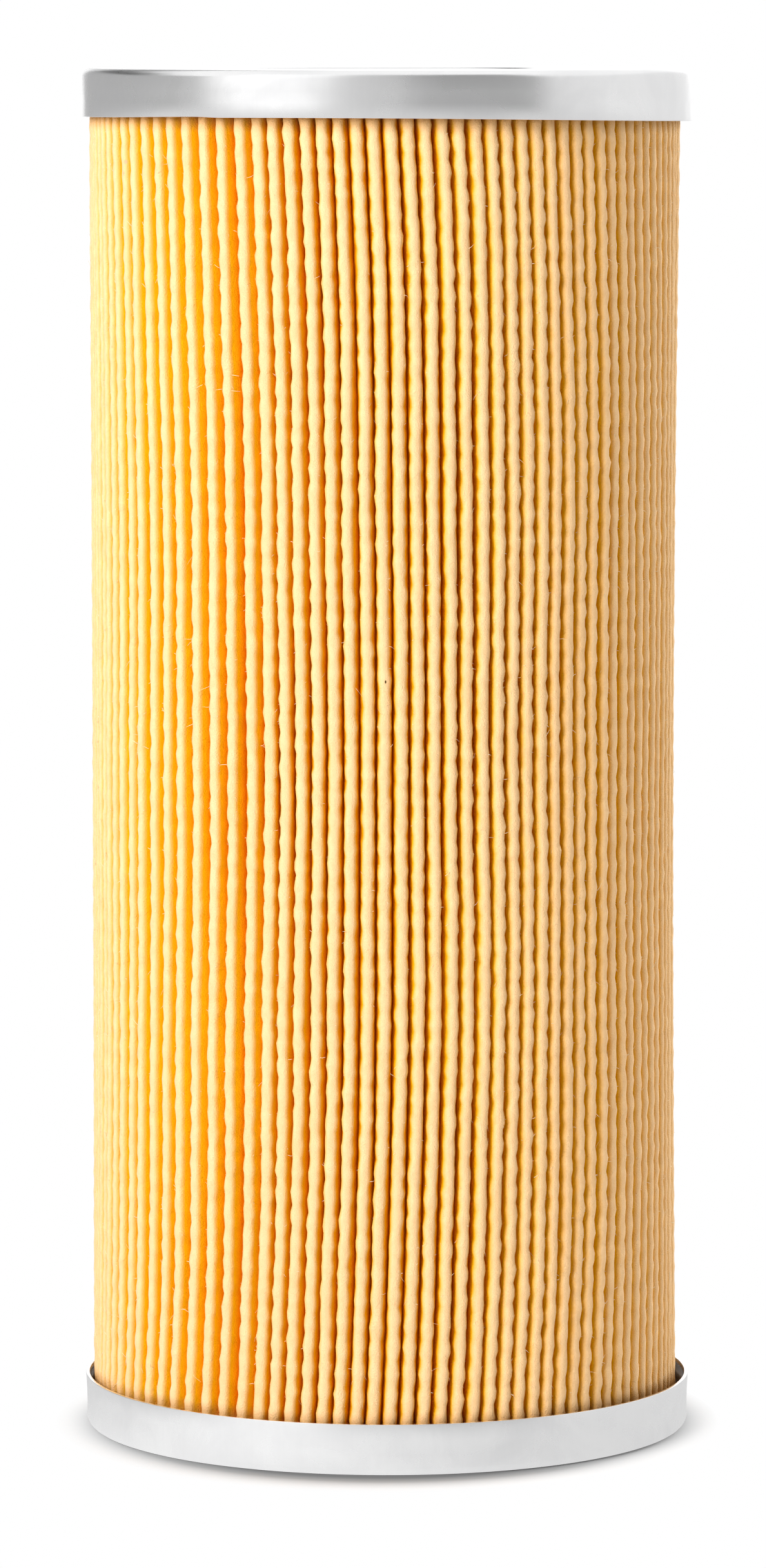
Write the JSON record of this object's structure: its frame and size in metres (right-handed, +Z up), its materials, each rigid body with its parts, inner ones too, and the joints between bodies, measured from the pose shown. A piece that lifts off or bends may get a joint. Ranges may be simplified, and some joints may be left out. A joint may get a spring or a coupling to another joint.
{
  "type": "hydraulic filter element",
  "caption": "Upright pleated paper hydraulic filter element with a steel centre tube, pressed sheet-metal end caps and a rubber-bushed bore at each end.",
  "frame": {"origin": "centre of the foot, on the outer face of the bottom end cap", "axes": "+Z up along the element's axis, +Y towards the seam of the paper at the back, the pictured side faces -Y"},
  "size_m": [0.1, 0.1, 0.2235],
  "materials": {
    "cap_steel": "plain satin sheet steel, drawn",
    "tube_steel": "rolled slotted sheet steel",
    "clip_steel": "thin folded strip",
    "paper": "resin-impregnated corrugated filter paper",
    "adhesive": "cured potting adhesive",
    "rubber": "moulded nitrile rubber"
  },
  "bodies": {
    "root": {"bottom_end_cap": "cap_steel", "top_end_cap": "cap_steel", "bottom_glue": "adhesive", "top_glue": "adhesive", "bottom_bush": "rubber", "top_bush": "rubber", "centre_tube": "tube_steel", "filter_media": "paper", "seam_clip": "clip_steel"}
  },
  "joints": []
}
